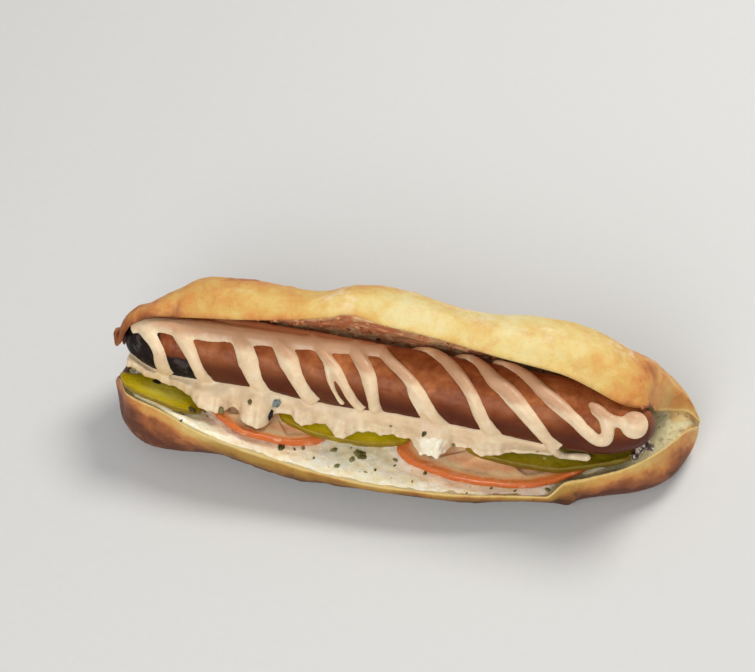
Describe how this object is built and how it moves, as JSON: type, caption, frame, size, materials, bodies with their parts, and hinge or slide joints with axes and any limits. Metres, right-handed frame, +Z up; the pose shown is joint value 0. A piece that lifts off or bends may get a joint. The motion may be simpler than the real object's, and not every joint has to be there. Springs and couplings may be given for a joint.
{
  "type": "hot dog",
  "caption": "Hot dog to hold and eat: a crusty roll slit along its front, filled with a grilled sausage under stripes of sauce, gherkin, tomato and herb mayonnaise.",
  "frame": {"origin": "centre of the bounding box in X and Y, at the level of the table", "axes": "+X along the roll, towards the end that the lid covers; +Y to the hinge at the back of the roll, so the open side faces -Y; +Z up"},
  "size_m": [0.205, 0.0698, 0.0605],
  "materials": {
    "crust": "baked crust, dry and matt, golden with orange-brown patches",
    "sausage": "grilled skin, greasy sheen, charred at one end; it carries a thick pinkish-beige sauce",
    "pickle": "wet, yellow-green",
    "tomato": "wet, orange-red",
    "spread": "soft, creamy white with specks of herb"
  },
  "bodies": {
    "root": {"bun": "crust", "sausage": "sausage", "pickle_left": "pickle", "pickle_middle": "pickle", "pickle_right": "pickle", "tomato_left": "tomato", "tomato_right": "tomato", "spread": "spread"}
  },
  "joints": []
}
